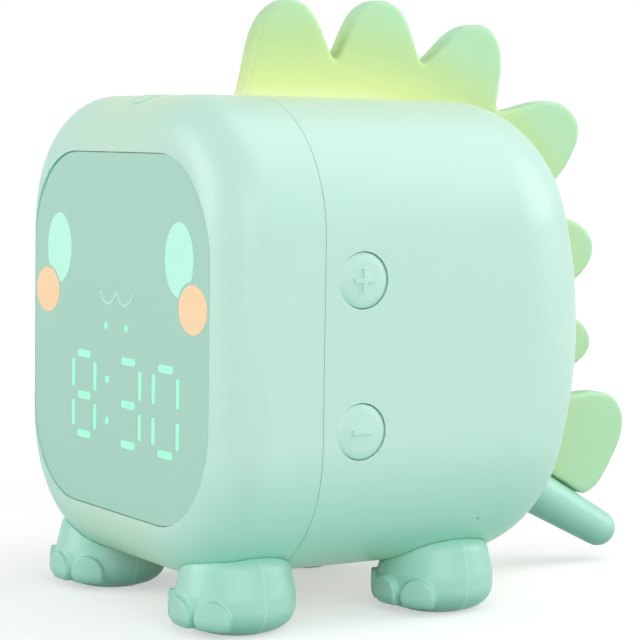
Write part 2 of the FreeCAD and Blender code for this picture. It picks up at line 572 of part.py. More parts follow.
def make_face():
    """Face panel, its printed films, the light box with its diffusers, and the display board."""
    panel = pad_body("display_panel_body", "panel_width", "panel_height", "panel_thickness",
                     "panel_radius", "0", "panel_front_y", "panel_z")
    node(panel, "display_panel")
    eyes = []
    cheeks = []
    for side, name in SIDES:
        eye = oval("eye_" + name, "eye_width_radius", "eye_height_radius", "film_thickness",
                   f"{side} * eye_spacing / 2", "panel_front_y", "mid_z + eye_height")
        ring = oval("cheek_ring_" + name, "cheek_width_radius + cheek_ring",
                    "cheek_height_radius + cheek_ring", "2 * wall",
                    f"{side} * cheek_spacing / 2", "panel_front_y + wall", "mid_z + cheek_height",
                    wide=True)
        eyes.append(cut("eye_film_" + name, eye, [ring]))
        cheeks.append(oval("cheek_" + name, "cheek_width_radius", "cheek_height_radius",
                           "film_thickness", f"{side} * cheek_spacing / 2", "panel_front_y",
                           "mid_z + cheek_height", wide=True))
    node(group("eye_films_group", eyes), "eye_films")
    node(group("cheek_films_group", cheeks), "cheek_films")
    lines = []
    for side, name in SIDES:
        x = f"{side} * mouth_radius"
        whole = rod("mouth_outer_" + name, "mouth_radius + mouth_line / 2", "film_thickness",
                    x, "panel_front_y", "mid_z + mouth_height", TO_FRONT)
        hole = rod("mouth_inner_" + name, "mouth_radius - mouth_line / 2", "2 * film_thickness",
                   x, "panel_front_y + film_thickness / 2", "mid_z + mouth_height", TO_FRONT)
        upper = block("mouth_upper_" + name, "4 * mouth_radius", "wall", "2 * mouth_radius", x,
                      "panel_front_y", "mid_z + mouth_height + mouth_depth")
        lines.append(cut("mouth_half_" + name, whole, [hole, upper]))
    smile = fuse("mouth", lines)
    nostrils = [rod("nostril_" + name, "nostril_radius", "film_thickness",
                    f"{side} * nostril_spacing / 2", "panel_front_y", "mid_z + nostril_height",
                    TO_FRONT) for side, name in SIDES]
    node(group("mouth_films_group", [smile] + nostrils), "mouth_and_nostril_films")
    box = pad_body("light_box_body", "panel_width - 2 * panel_ledge - 2 * lightbox_margin",
                   "panel_height - 2 * panel_ledge - 2 * lightbox_margin", "lightbox_depth",
                   "panel_radius - panel_ledge - lightbox_margin", "0", "panel_back_y", "panel_z")
    pockets = []
    diffusers = []
    chips = []
    for index, (x, z, across, up) in enumerate(segment_places(), 1):
        pockets.append(slab(f"pocket_{index}", f"{across} + 2 * fit_gap",
                            "lightbox_depth + 2 * wall", f"{up} + 2 * fit_gap", x,
                            "panel_back_y - wall", z))
        diffusers.append(slab(f"diffuser_{index}", across, "diffuser_depth", up, x,
                              "panel_back_y", z))
        chips.append(slab(f"chip_{index}", "chip_width", "chip_height", "chip_width", x,
                          "board_front_y - chip_height", z))
    for side, name in SIDES:
        for feature, x, z, radius in (
                ("eye", f"{side} * eye_spacing / 2", "mid_z + eye_height",
                 "eye_width_radius * 0.8"),
                ("cheek", f"{side} * (cheek_spacing - cheek_width_radius) / 2",
                 "mid_z + cheek_height - cheek_height_radius / 2", "cheek_height_radius * 0.6")):
            pockets.append(rod(f"{feature}_pocket_{name}", radius, "lightbox_depth + 2 * wall",
                               x, "board_front_y + wall", z, TO_FRONT))
            chips.append(slab(f"{feature}_chip_{name}", "chip_width", "chip_height",
                              "chip_width", x, "board_front_y - chip_height", z))
    node(cut("light_box_cut", box, pockets), "light_box")
    node(group("diffusers_group", diffusers), "digit_diffusers")
    node(group("display_chips_group", chips), "display_leds")
    for name, start in (("display_board", "board_front_y"), ("main_board", "main_front_y")):
        plate = pad_body(name + "_body", "display_board_width", "display_board_height",
                         "board_thickness", "display_board_corner", "0", start, "mid_z")
        holes = []
        for index, (x_sign, z_sign) in enumerate(CORNERS, 1):
            x, z = screw_place(x_sign, z_sign)
            holes.append(rod(f"{name}_hole_{index}", "screw_radius + fit_gap",
                             "board_thickness + 2 * wall", x,
                             f"{start} + board_thickness + wall", z, TO_FRONT))
        node(cut(name + "_cut", plate, holes), name)
    spacers = []
    screws = []
    for index, (x_sign, z_sign) in enumerate(CORNERS, 1):
        x, z = screw_place(x_sign, z_sign)
        tube = rod(f"spacer_tube_{index}", "stack_post_radius", "stack_spacer_length", x,
                   "main_front_y", z, TO_FRONT)
        hole = rod(f"spacer_hole_{index}", "screw_radius + fit_gap",
                   "stack_spacer_length + 2 * wall", x, "main_front_y + wall", z, TO_FRONT)
        spacers.append(cut(f"spacer_{index}", tube, [hole]))
        screws.append(screw(f"stack_screw_{index}",
                            "2 * board_thickness + stack_spacer_length + screw_grip", x,
                            "main_back_y", z, TO_FRONT))
    node(group("spacers_group", spacers), "board_spacers")
    node(group("stack_screws_group", screws), "board_screws")


def segment_places():
    """Centre and size formulas of every lit bar: three digits, a leading 1 and the colon."""
    middle = "mid_z + digit_centre_z"
    bars = []
    for x in ("colon_x - digit_left", "colon_x + digit_right",
              "colon_x + digit_right + digit_pitch"):
        for level in (-1, 0, 1):
            bars.append((x, f"{middle} + {level} * digit_height / 2",
                         "segment_wide", "segment_width"))
        for side in (-1, 1):
            bars += upright_bars(f"{x} + {side} * digit_width / 2", middle)
    bars += upright_bars("colon_x - digit_left - digit_pitch + digit_width / 2", middle)
    for level in (-1, 1):
        bars.append(("colon_x", f"{middle} + {level} * colon_spacing / 2",
                     "segment_width", "segment_width"))
    return bars


def upright_bars(x, middle):
    """The two bars, one above the other, on one side of a digit."""
    return [(x, f"{middle} + {level} * digit_height / 4", "segment_width", "segment_long")
            for level in (-1, 1)]


def oval(name, across, up, depth, x, y, z, wide=False):
    """An oval plate that faces the front, with its back at y; wide ones lie on their side."""
    curve = doc.addObject("Part::Ellipse", name + "_curve")
    longer, shorter = (across, up) if wide else (up, across)
    bind(curve, MajorRadius=longer, MinorRadius=shorter)
    place(curve, x, y, z, TO_FRONT if wide else (FreeCAD.Vector(1, 1, 1), -120))
    plate = doc.addObject("Part::Extrusion", name)
    plate.Base = curve
    plate.DirMode = "Custom"
    plate.Dir = FreeCAD.Vector(0, -1, 0)
    plate.Solid = True
    return bind(plate, LengthFwd=depth)


def make_foot(name, x_sign, depth):
    """One foot: a rounded barrel with three flat-bottomed nails, shaped to the body above it."""
    x = f"{x_sign} * foot_spacing / 2"
    y = f"front_y + {depth}"
    points = [("0", "foot_lift"), ("foot_radius", "foot_lift"),
              ("foot_radius", "foot_height / 2"), ("foot_top_radius", "foot_height"),
              ("0", "foot_height")]
    barrel = turned_body("barrel_" + name, points, x, y, "0")
    sharp = edges_where(barrel.Tip.Shape, lambda point: abs(point.z - size("foot_lift")) < 1e-6
                        and point.Length > size("foot_radius") / 2)
    base = round_edges(barrel, barrel.Tip, sharp, "foot_round", f"barrel_{name}_base")
    waist = edges_where(base.Shape, lambda point: abs(point.z - size("foot_height") / 2) < 1e-6)
    middle = round_edges(barrel, base, waist, "foot_round", f"barrel_{name}_waist")
    brim = edges_where(middle.Shape, lambda point: abs(point.z - size("foot_height")) < 1e-6
                       and math.hypot(point.x, point.y) > size("foot_radius") / 2)
    round_edges(barrel, middle, brim, "foot_top_round", f"barrel_{name}_brim")
    wide = "foot_radius + toe_stand"
    form = turned_body("nail_form_" + name, [("0", "foot_lift"), (wide, "foot_lift"),
                                             (wide, "foot_height / 2"), ("0", "foot_height / 2")],
                       x, y, "0")
    low = edges_where(form.Tip.Shape, lambda point: abs(point.z - size("foot_lift")) < 1e-6
                      and math.hypot(point.x, point.y) > size("foot_radius") / 2)
    round_edges(form, form.Tip, low, "nail_round", f"nail_form_{name}_base")
    rods = []
    for step in (-1, 0, 1):
        angle = math.radians(step * size("toe_angle"))
        rods.append(rod(f"nail_{name}_{step + 2}", "toe_width", "foot_radius + 2 * toe_stand", x, y,
                        "toe_low + toe_height",
                        (FreeCAD.Vector(math.cos(angle), math.sin(angle), 0), 90)))
    under = block("nail_floor_" + name, "4 * foot_radius", "4 * foot_radius", "2 * toe_low", x, y)
    nails = common("nails_" + name, form, cut("nail_rods_" + name, fuse("nail_all_" + name, rods),
                                              [under]))
    whole = fuse("whole_" + name, [barrel, nails])
    pad_well = rod("pad_well_" + name, "pad_radius + fit_gap", "2 * pad_thickness", x, y,
                   "-pad_thickness")
    sink = rod("screw_sink_" + name, "screw_head_radius + fit_gap",
               "screw_head_height + 2 * pad_thickness", x, y, "0")
    bore = rod("screw_bore_" + name, "screw_radius + fit_gap", "2 * foot_height", x, y, "0")
    node(cut("foot_cut_" + name, whole, [outer, pad_well, sink, bore]), "foot_" + name)
    rubber = rod("pad_" + name, "pad_radius", "pad_thickness", x, y, "0")
    fixing = screw("foot_screw_" + name, "ground_clearance + foot_boss_height + wall - 4", x, y,
                   "screw_head_height + 2 * pad_thickness")
    return rubber, fixing


def make_tail():
    """Tail: a tapered round bar with a ball tip, seated on the back and screwed from inside."""
    slope = "tail_angle * 1 deg"
    taper = bind(doc.addObject("Part::Cone", "tail_taper"), Radius1="tail_root_radius",
                 Radius2="tail_tip_radius", Height="tail_length")
    aim_at_tail(taper, "0")
    ball = bind(doc.addObject("Part::Sphere", "tail_ball"), Radius="tail_tip_radius")
    place(ball, "0", "tail_tip_y", "tail_tip_height")
    bore = tail_rod("tail_bore", "screw_radius + fit_gap", "tail_boss_start",
                    "tail_screw_length + 1")
    node(cut("tail_cut", fuse("tail_whole", [taper, ball]), [outer, bore]), "tail")
    fixing = screw("tail_screw_body", "tail_screw_length", "0", "0", "0",
                   (FreeCAD.Vector(-1, 0, 0), 90))
    aim_at_tail(fixing, "tail_boss_start")
    node(fixing, "tail_screw")


def make_key(name, side, z):
    """One domed key with its flange, stem and raised mark; it slides into the side wall."""
    rim = "(wall + key_slack + key_flange_thickness)"
    points = [("0", "-key_stem_length"), ("key_stem_radius", "-key_stem_length"),
              ("key_stem_radius", "0"), ("key_radius + key_flange", "0"),
              ("key_radius + key_flange", "key_flange_thickness"),
              ("key_radius", "key_flange_thickness"), ("key_radius", f"{rim} - key_dome / 2"),
              ("key_radius - key_dome", rim), ("0", f"{rim} + key_dome / 2")]
    cap = turned_body(name + "_cap", points, f"{side} * key_seat_x", "key_y", z,
                      TO_RIGHT if side > 0 else TO_LEFT)
    face = f"{side} * (body_width / 2 + key_dome / 2)"
    tall = "2 * key_mark_height"
    if name == "plus_key":
        marks = [block(name + "_bar", tall, "key_mark", "key_mark_line", face, "key_y", z),
                 block(name + "_post", tall, "key_mark_line", "key_mark", face, "key_y", z)]
    elif name == "minus_key":
        marks = [block(name + "_bar", tall, "key_mark", "key_mark_line", face, "key_y", z)]
    elif name == "set_key":
        marks = [block(f"{name}_bar_{level + 2}", tall, "key_mark", "key_mark_line / 2", face,
                       "key_y", f"{z} + {level} * key_mark_line * 1.5") for level in (-1, 0, 1)]
    else:
        disc = rod(name + "_disc", "key_mark / 2", tall, f"{face} - {side} * key_mark_height",
                   "key_y", z, TO_RIGHT if side > 0 else TO_LEFT)
        hole = rod(name + "_eye", "key_mark / 2 - key_mark_line / 2", "3 * wall",
                   f"{face} - {side} * wall", "key_y", z, TO_RIGHT if side > 0 else TO_LEFT)
        marks = [cut(name + "_ring", disc, [hole])]
    node(fuse(name + "_whole", [cap] + marks), name)


def make_keys():
    """The four keys, their switches, and the board and screws on each side."""
    switches = []
    screws = []
    for name, side, z in key_places():
        make_key(name, side, z)
        turn = TO_RIGHT if side > 0 else TO_LEFT
        case = block(name + "_switch_case", "switch_height", "switch_size", "switch_size",
                     f"{side} * (key_board_x + switch_height / 2)", "key_y", z)
        well = rod(name + "_switch_well", "key_stem_radius + fit_gap", "switch_height",
                   f"{side} * (key_board_x + switch_height - key_stem_room - key_travel)",
                   "key_y", z, turn)
        switches.append(cut(name + "_switch", case, [well]))
    node(group("key_switches_group", switches), "key_switches")
    for side, name in SIDES:
        turn = TO_RIGHT if side > 0 else TO_LEFT
        plate = block(f"key_board_{name}_plate", "board_thickness", "key_board_width",
                      "key_board_length", f"{side} * (key_board_x - board_thickness / 2)",
                      "key_y", "mid_z + key_rise")
        holes = []
        for step in (-1, 1):
            z = f"mid_z + key_rise + {step} * key_post_spacing / 2"
            holes.append(rod(f"key_board_{name}_hole_{step + 2}", "screw_radius + fit_gap",
                             "3 * board_thickness", f"{side} * (key_board_x - 2 * board_thickness)",
                             "key_y", z, turn))
            screws.append(screw(f"key_screw_{name}_{step + 2}", "board_thickness + screw_grip",
                                f"{side} * (key_board_x - board_thickness)", "key_y", z, turn))
        node(cut(f"key_board_{name}_cut", plate, holes), f"key_board_{name}")
    node(group("key_screws_group", screws), "key_board_screws")


def make_rear_board():
    """Board at the back with the charging socket and the alarm slide switch."""
    middle_z = "mid_z + rear_board_z"
    plate = slab("rear_board_plate", "rear_board_width", "board_thickness", "rear_board_height",
                 "rear_board_x", "rear_board_y", middle_z)
    holes = []
    screws = []
    for step in (-1, 1):
        x, z = rear_post_place(step)
        holes.append(rod(f"rear_board_hole_{step + 2}", "screw_radius + fit_gap",
                         "3 * board_thickness", x, "rear_board_y - board_thickness", z, TO_BACK))
        screws.append(screw(f"rear_screw_{step + 2}", "board_thickness + screw_grip", x,
                            "rear_board_y", z, TO_BACK))
    node(cut("rear_board_cut", plate, holes), "rear_board")
    node(group("rear_screws_group", screws), "rear_board_screws")
    case = slab("socket_case", "socket_width", "socket_length", "socket_height", "rear_board_x",
                "rear_board_back_y", f"{middle_z} - socket_drop")
    mouth = slab("socket_mouth", "socket_width - 0.7", "socket_length", "socket_height - 0.7",
                 "rear_board_x", "rear_board_back_y + 1.5", f"{middle_z} - socket_drop")
    pin_bar = slab("socket_tongue", "socket_width - 2.4", "socket_length - 2", "0.7",
                   "rear_board_x", "rear_board_back_y + 1", f"{middle_z} - socket_drop")
    node(fuse("socket_whole", [cut("socket_shell", case, [mouth]), pin_bar]), "charging_socket")
    node(slab("slide_switch_case", "slide_switch_width", "slide_switch_depth",
              "slide_switch_height", "rear_board_x", "rear_board_back_y",
              f"{middle_z} + slider_rise"), "slide_switch")
    node(slab("slider_bar", "slider_width", "slider_length", "slider_height",
              "rear_board_x - slider_travel / 2",
              "rear_board_back_y + slide_switch_depth + fit_gap", f"{middle_z} + slider_rise"),
         "alarm_slider")


def make_inside():
    """Battery and its tray, loudspeaker, microphone, touch foil and board components."""
    node(rod("cell", "cell_radius", "cell_length", "-cell_length / 2", "cell_y", "cell_z",
             TO_RIGHT), "battery_cell")
    plate_z = "inner_floor_z + tray_leg_height"
    width = "(cell_length + 2 * fit_gap + 2 * tray_wall)"
    depth = "(2 * cell_radius + 2 * fit_gap)"
    parts = [block("tray_plate", width, depth, "tray_wall", "0", "cell_y",
                   f"{plate_z} + tray_wall / 2"),
             block("tray_leg", "tray_leg_width", depth, "tray_leg_height", "0", "cell_y",
                   "inner_floor_z + tray_leg_height / 2")]
    for side, name in SIDES:
        parts.append(block("tray_end_" + name, "tray_wall", depth, "cell_radius + tray_wall",
                           f"{side} * ({width} - tray_wall) / 2", "cell_y",
                           f"{plate_z} + (cell_radius + tray_wall) / 2"))
    node(fuse("tray", parts), "battery_tray")
    ring = rod("gasket_disc", "speaker_radius", "gasket_thickness", "0", "speaker_y",
               "inner_floor_z")
    hole = rod("gasket_hole", "speaker_radius - 2", "3 * gasket_thickness", "0", "speaker_y",
               "inner_floor_z - gasket_thickness")
    node(cut("gasket", ring, [hole]), "speaker_gasket")
    base_z = "inner_floor_z + gasket_thickness"
    drum = rod("speaker_drum", "speaker_radius", "speaker_height", "0", "speaker_y", base_z)
    well = rod("speaker_well", "speaker_radius - 1.2", "speaker_height", "0", "speaker_y",
               f"{base_z} - 1.4")
    node(cut("speaker_frame_cut", drum, [well]), "speaker_frame")
    cone = bind(doc.addObject("Part::Cone", "cone_outside"), Radius1="speaker_radius - 1.5",
                Radius2="speaker_radius / 3", Height="speaker_height - 2")
    place(cone, "0", "speaker_y", base_z)
    hollow = bind(doc.addObject("Part::Cone", "cone_inside"), Radius1="speaker_radius - 2.1",
                  Radius2="speaker_radius / 3 - 0.6", Height="speaker_height - 2")
    place(hollow, "0", "speaker_y", f"{base_z} - 0.5")
    node(cut("speaker_cone_cut", cone, [hollow]), "speaker_cone")
    node(rod("magnet", "magnet_radius", "magnet_height", "0", "speaker_y",
             f"{base_z} + speaker_height"), "speaker_magnet")
    node(pinhole("microphone_case", "microphone_radius", "-microphone_height - 2 * fit_gap",
                 "microphone_height"), "microphone")
    skin = cut("foil_skin", inner, [foil_form])
    disc = rod("foil_disc", "touch_radius", "body_height", "0", "front_y + touch_depth",
               "panel_z + panel_height / 2")
    node(common("touch_foil_cut", skin, disc), "touch_foil")
    chips = []
    for name, x, z, across, deep, up in (("controller", "-8", "6", "10", "1.6", "10"),
                                         ("memory", "10", "8", "6", "1.4", "5"),
                                         ("crystal", "-20", "10", "3.2", "1", "8"),
                                         ("battery_plug", "-18", "-16", "8", "5", "6"),
                                         ("speaker_plug", "4", "-18", "6", "5", "5")):
        chips.append(slab(name, across, deep, up, x, "main_back_y", f"mid_z + {z}"))
    node(group("components_group", chips), "board_components")


def spine_point(distance):
    """Point on the body's middle outline, from the crest's front end back, with its normal."""
    radius = size("rear_radius")
    dome = size("dome_radius")
    top = value("mid_z") + size("body_height") / 2
    mid = value("mid_z")
    dome_y = value("front_y") + size("body_depth") - dome
    bend_z = top - radius
    bend_y = dome_y + math.sqrt((dome - radius) ** 2 - (bend_z - mid) ** 2)
    join = math.atan2(bend_y - dome_y, bend_z - mid)
    flat = bend_y - (value("front_y") + size("crest_front"))
    if distance < flat:
        return FreeCAD.Vector(0, bend_y - flat + distance, top), FreeCAD.Vector(0, 0, 1)
    turn = (distance - flat) / radius
    if turn < join:
        normal = FreeCAD.Vector(0, math.sin(turn), math.cos(turn))
        return FreeCAD.Vector(0, bend_y, bend_z) + normal * radius, normal
    turn = join + (distance - flat - join * radius) / dome
    normal = FreeCAD.Vector(0, math.sin(turn), math.cos(turn))
    return FreeCAD.Vector(0, dome_y, mid) + normal * dome, normal


def flank(valley, tip, bulge):
    """Two points of a spike's flank, pushed out from the straight line between valley and tip."""
    line = tip - valley
    out = FreeCAD.Vector(0, -line.z, line.y).normalize() * bulge
    return [valley + line * size("flank_low_place") + out * size("flank_low_share"),
            valley + line * size("flank_high_place") + out]


def make_crest():
    """Soft crest: a plate with seven rounded spikes, held in its slot by a flange."""
    start = 0
    low, up = spine_point(0)
    under = FreeCAD.Vector(0, low.y, low.z - size("rear_radius"))
    edges = [Part.LineSegment(under, low).toShape()]
    valley = low
    for index in range(1, 7):
        width = size(f"spike_width_{index}")
        height = size(f"spike_height_{index}")
        middle, normal = spine_point(start + width / 2)
        along = FreeCAD.Vector(0, normal.z, -normal.y)
        end, end_normal = spine_point(start + width)
        next_valley = end + end_normal * size("crest_valley")
        tip = middle + normal * height + along * size(f"spike_lean_{index}")
        points = [valley] + flank(valley, tip, size(f"front_bulge_{index}")) + [tip]
        points += flank(next_valley, tip, -size(f"rear_bulge_{index}"))[::-1] + [next_valley]
        curve = Part.BSplineCurve()
        curve.interpolate(points)
        edges.append(curve.toShape())
        valley = next_valley
        start += width
    slope = math.radians(size("tail_angle"))
    along = FreeCAD.Vector(0, math.cos(slope), -math.sin(slope))
    out = FreeCAD.Vector(0, math.sin(slope), math.cos(slope))
    length = value("tail_length")
    root = FreeCAD.Vector(0, value("tail_root_y"), value("tail_root_z"))

    def on_tail(share, height):
        """Point above the tail's top line, at a share of its length."""
        radius = size("tail_root_radius") + share * (size("tail_tip_radius")
                                                     - size("tail_root_radius"))
        return root + along * (length * share) + out * (radius + height)

    gap = 2 * size("fit_gap")
    last = [valley] + [on_tail(share, height * size("tail_spike_height"))
                       for share, height in ((0.52, 0.83), (0.74, 1), (0.826, 0.91),
                                             (0.873, 0.43), (0.833, 0.09))] + [on_tail(0.8, gap)]
    curve = Part.BSplineCurve()
    curve.interpolate(last)
    edges.append(curve.toShape())
    foot = on_tail(0, gap)
    edges.append(Part.LineSegment(last[-1], foot).toShape())
    inside = FreeCAD.Vector(0, under.y, foot.z)
    edges.append(Part.LineSegment(foot, inside).toShape())
    edges.append(Part.LineSegment(inside, under).toShape())
    half_width = size("crest_thickness") / 2
    face = Part.Face(Part.Wire(edges))
    face.translate(FreeCAD.Vector(-half_width, 0, 0))
    plate = doc.addObject("Part::Feature", "crest_plate")
    plate.Shape = face.extrude(FreeCAD.Vector(2 * half_width, 0, 0))
    span = block("crest_span", "crest_flange_width", "2 * body_depth", "body_height", "0",
                 "front_y + crest_front + body_depth", "crest_end_z + body_height / 2")
    flange = common("crest_flange", cut("flange_skin", inner, [liner]), span)
    below = block("crest_below", "2 * crest_thickness", "2 * body_depth", "body_height", "0",
                  "front_y + body_depth", "crest_end_z - body_height / 2")
    web = cut("crest_web", plate, [liner, common("crest_below_skin", outer, below)])
    node(fuse("crest_whole", [web, flange]), "crest")


def make_crest_light():
    """Clamp under the crest, its light board, LEDs and screws."""
    clamp = block("clamp_plate", "clamp_width", "clamp_length", "clamp_thickness", "0",
                  "clamp_y", "clamp_top_z - clamp_thickness / 2")
    window = block("clamp_window", "crest_thickness", "clamp_length - 12", "3 * clamp_thickness",
                   "0", "clamp_y", "clamp_top_z")
    holes = []
    screws = []
    for x_sign in (-1, 1):
        for end in (0, 1):
            x, y = clamp_screw_place(x_sign, end)
            holes.append(rod(f"clamp_hole_{x_sign + 2}_{end}", "screw_radius + fit_gap",
                             "3 * clamp_thickness", x, y, "clamp_top_z - 2 * clamp_thickness"))
            screws.append(screw(f"clamp_screw_{x_sign + 2}_{end}",
                                "clamp_thickness + crest_flange + wall / 4", x, y,
                                "clamp_top_z - clamp_thickness"))
    node(cut("clamp_cut", clamp, [window] + holes), "crest_clamp")
    node(group("clamp_screws_group", screws), "crest_screws")
    node(block("light_board_plate", "light_board_width", "clamp_length - 4", "board_thickness",
               "0", "clamp_y", "clamp_top_z - clamp_thickness - board_thickness / 2"),
         "crest_light_board")
    chips = []
    count = int(size("light_chip_count"))
    for index in range(count):
        share = (index + 0.5) / count - 0.5
        chips.append(block(f"crest_chip_{index + 1}", "2 * chip_width", "2 * chip_width",
                           "chip_height", "0", f"clamp_y + {share} * (clamp_length - 14)",
                           "clamp_top_z - clamp_thickness + chip_height / 2"))
    node(group("crest_chips_group", chips), "crest_leds")


make_front_shell()
make_rear_shell()
make_face()
fittings = [make_foot(name, x_sign, depth) for name, x_sign, depth in FEET]
node(group("pads_group", [rubber for rubber, _ in fittings]), "foot_pads")
node(group("foot_screws_group", [fixing for _, fixing in fittings]), "foot_screws")
make_tail()
make_keys()
make_rear_board()
make_inside()
make_crest()
make_crest_light()
shell_screws = []
for side, name in SIDES:
    shell_screws.append(screw("shell_screw_" + name,
                              "tongue_thickness + wall - screw_head_height",
                              f"{side} * tongue_width / 4", "parting_y + tongue_reach / 2",
                              "ground_clearance + screw_head_height"))
node(group("shell_screws_group", shell_screws), "shell_screws")

doc.recompute()
for thing in doc.Objects:
    if "Invalid" in thing.State or "Error" in thing.State:
        raise RuntimeError(f"{thing.Label} did not build")
os.makedirs("parts", exist_ok=True)
for part in NODES:
    if part.Shape.isNull() or not part.Shape.isValid():
        raise RuntimeError(f"{part.Label} has no valid shape")
    part.Shape.exportStep(os.path.join("parts", part.Label + ".step"))
    print(part.Label, round(part.Shape.Volume, 2), len(part.Shape.Solids))
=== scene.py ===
"""Looks of the dinosaur alarm clock with night light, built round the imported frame.

Each class below dresses one sub-assembly. Lengths are in metres unless a name says otherwise.
"""

import json
import logging
import math
from dataclasses import dataclass, replace
from enum import Enum

import bpy
from mathutils import Matrix, Vector

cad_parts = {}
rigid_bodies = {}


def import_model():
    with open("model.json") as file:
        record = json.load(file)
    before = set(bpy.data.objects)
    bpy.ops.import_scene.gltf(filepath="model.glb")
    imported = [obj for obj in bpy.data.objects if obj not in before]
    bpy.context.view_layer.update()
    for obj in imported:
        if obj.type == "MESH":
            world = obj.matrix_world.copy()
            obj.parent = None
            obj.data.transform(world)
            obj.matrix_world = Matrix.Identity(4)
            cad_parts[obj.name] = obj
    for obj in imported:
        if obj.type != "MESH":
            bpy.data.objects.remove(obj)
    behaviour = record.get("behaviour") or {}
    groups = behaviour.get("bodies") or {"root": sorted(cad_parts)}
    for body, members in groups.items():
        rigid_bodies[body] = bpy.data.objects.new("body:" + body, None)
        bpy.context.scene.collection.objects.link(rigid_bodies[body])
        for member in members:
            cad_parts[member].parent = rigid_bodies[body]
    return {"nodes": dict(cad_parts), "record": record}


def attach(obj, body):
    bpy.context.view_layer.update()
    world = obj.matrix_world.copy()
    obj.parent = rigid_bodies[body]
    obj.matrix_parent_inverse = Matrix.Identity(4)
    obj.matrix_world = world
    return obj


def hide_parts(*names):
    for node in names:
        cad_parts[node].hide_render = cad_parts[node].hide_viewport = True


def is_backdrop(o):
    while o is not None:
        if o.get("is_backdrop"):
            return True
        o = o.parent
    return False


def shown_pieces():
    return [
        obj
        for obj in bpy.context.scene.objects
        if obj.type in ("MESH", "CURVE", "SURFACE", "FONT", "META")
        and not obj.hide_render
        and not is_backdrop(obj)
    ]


LOG = logging.getLogger("clock")
MM = 0.001
WHITE_LIGHT = (1, 1, 1, 1)

Colour = tuple[float, float, float, float]
Source = bpy.types.Node | bpy.types.NodeSocket | str | float | tuple


class Face(Enum):
    """Which segments of a digit are lit, in the order a to g."""

    EIGHT = (True, True, True, True, True, True, True)
    THREE = (True, True, True, True, False, False, True)
    ZERO = (True, True, True, True, True, True, False)


def linear(hex_colour: str) -> Colour:
    """Converts an sRGB hex colour.

    Args:
        hex_colour: six hex digits, with or without a hash sign.

    Returns:
        The linear red, green, blue and an alpha of 1.
    """
    digits = hex_colour.lstrip("#")
    values = [int(digits[i:i + 2], 16) / 255 for i in (0, 2, 4)]
    lin = [v / 12.92 if v <= 0.04045 else ((v + 0.055) / 1.055) ** 2.4 for v in values]
    return (*lin, 1.0)


def feed(socket: bpy.types.NodeSocket, source: Source) -> None:
    """Sets or links one input of a node.

    Args:
        socket: the input.
        source: a number or vector, a hex colour, an output, or a node whose first output is meant.
    """
    if isinstance(source, bpy.types.Node):
        source = source.outputs[0]
    if isinstance(source, bpy.types.NodeSocket):
        socket.id_data.links.new(source, socket)
    else:
        socket.default_value = linear(source) if isinstance(source, str) else source


def add_node(tree: bpy.types.NodeTree, kind: str, links: dict[str | int, Source] | None = None,
             stops: tuple[tuple[float, str], ...] = (), **settings: object) -> bpy.types.Node:
    """Adds one shader node with its settings and links.

    Args:
        tree: the material's node tree.
        kind: the node's type name, without ShaderNode in front.
        links: input name or index to what feeds it.
        stops: the places and hex colours of a colour ramp.
        settings: properties of the node.

    Returns:
        The new node.
    """
    made = tree.nodes.new("ShaderNode" + kind)
    for name, value in settings.items():
        setattr(made, name, value)
    for name, source in (links or {}).items():
        feed(made.inputs[name], source)
    for _ in stops[2:]:
        made.color_ramp.elements.new(0.5)
    for number, (place, colour) in enumerate(stops):
        made.color_ramp.elements[number].position = place
        made.color_ramp.elements[number].color = linear(colour)
    return made


def long_side(tree: bpy.types.NodeTree, first: Source, second: Source) -> bpy.types.NodeSocket:
    """Measures how far a point is from a line, from its two offsets.

    Args:
        tree: the material's node tree.
        first: one offset.
        second: the other offset, square to the first.

    Returns:
        The socket that holds the distance.
    """
    offsets = add_node(tree, "CombineXYZ", {"X": first, "Y": second})
    return add_node(tree, "VectorMath", {0: offsets}, operation="LENGTH").outputs["Value"]


@dataclass
class Surface:
    """A material in the making, with the sockets that its pattern reads."""

    material: bpy.types.Material
    shader: bpy.types.Node
    point: bpy.types.NodeSocket
    colour: bpy.types.NodeSocket

    @property
    def tree(self) -> bpy.types.NodeTree:
        """The material's node tree."""
        return self.material.node_tree

    def paint(self, colour: Source, glow: float = 0.0) -> bpy.types.Material:
        """Gives the surface its colour.

        Args:
            colour: what feeds the base colour, and the light where the surface glows.
            glow: strength of the light that the surface gives by itself.

        Returns:
            The finished material.
        """
        feed(self.shader.inputs["Base Color"], colour)
        if glow:
            feed(self.shader.inputs["Emission Color"], colour)
            feed(self.shader.inputs["Emission Strength"], glow)
        return self.material


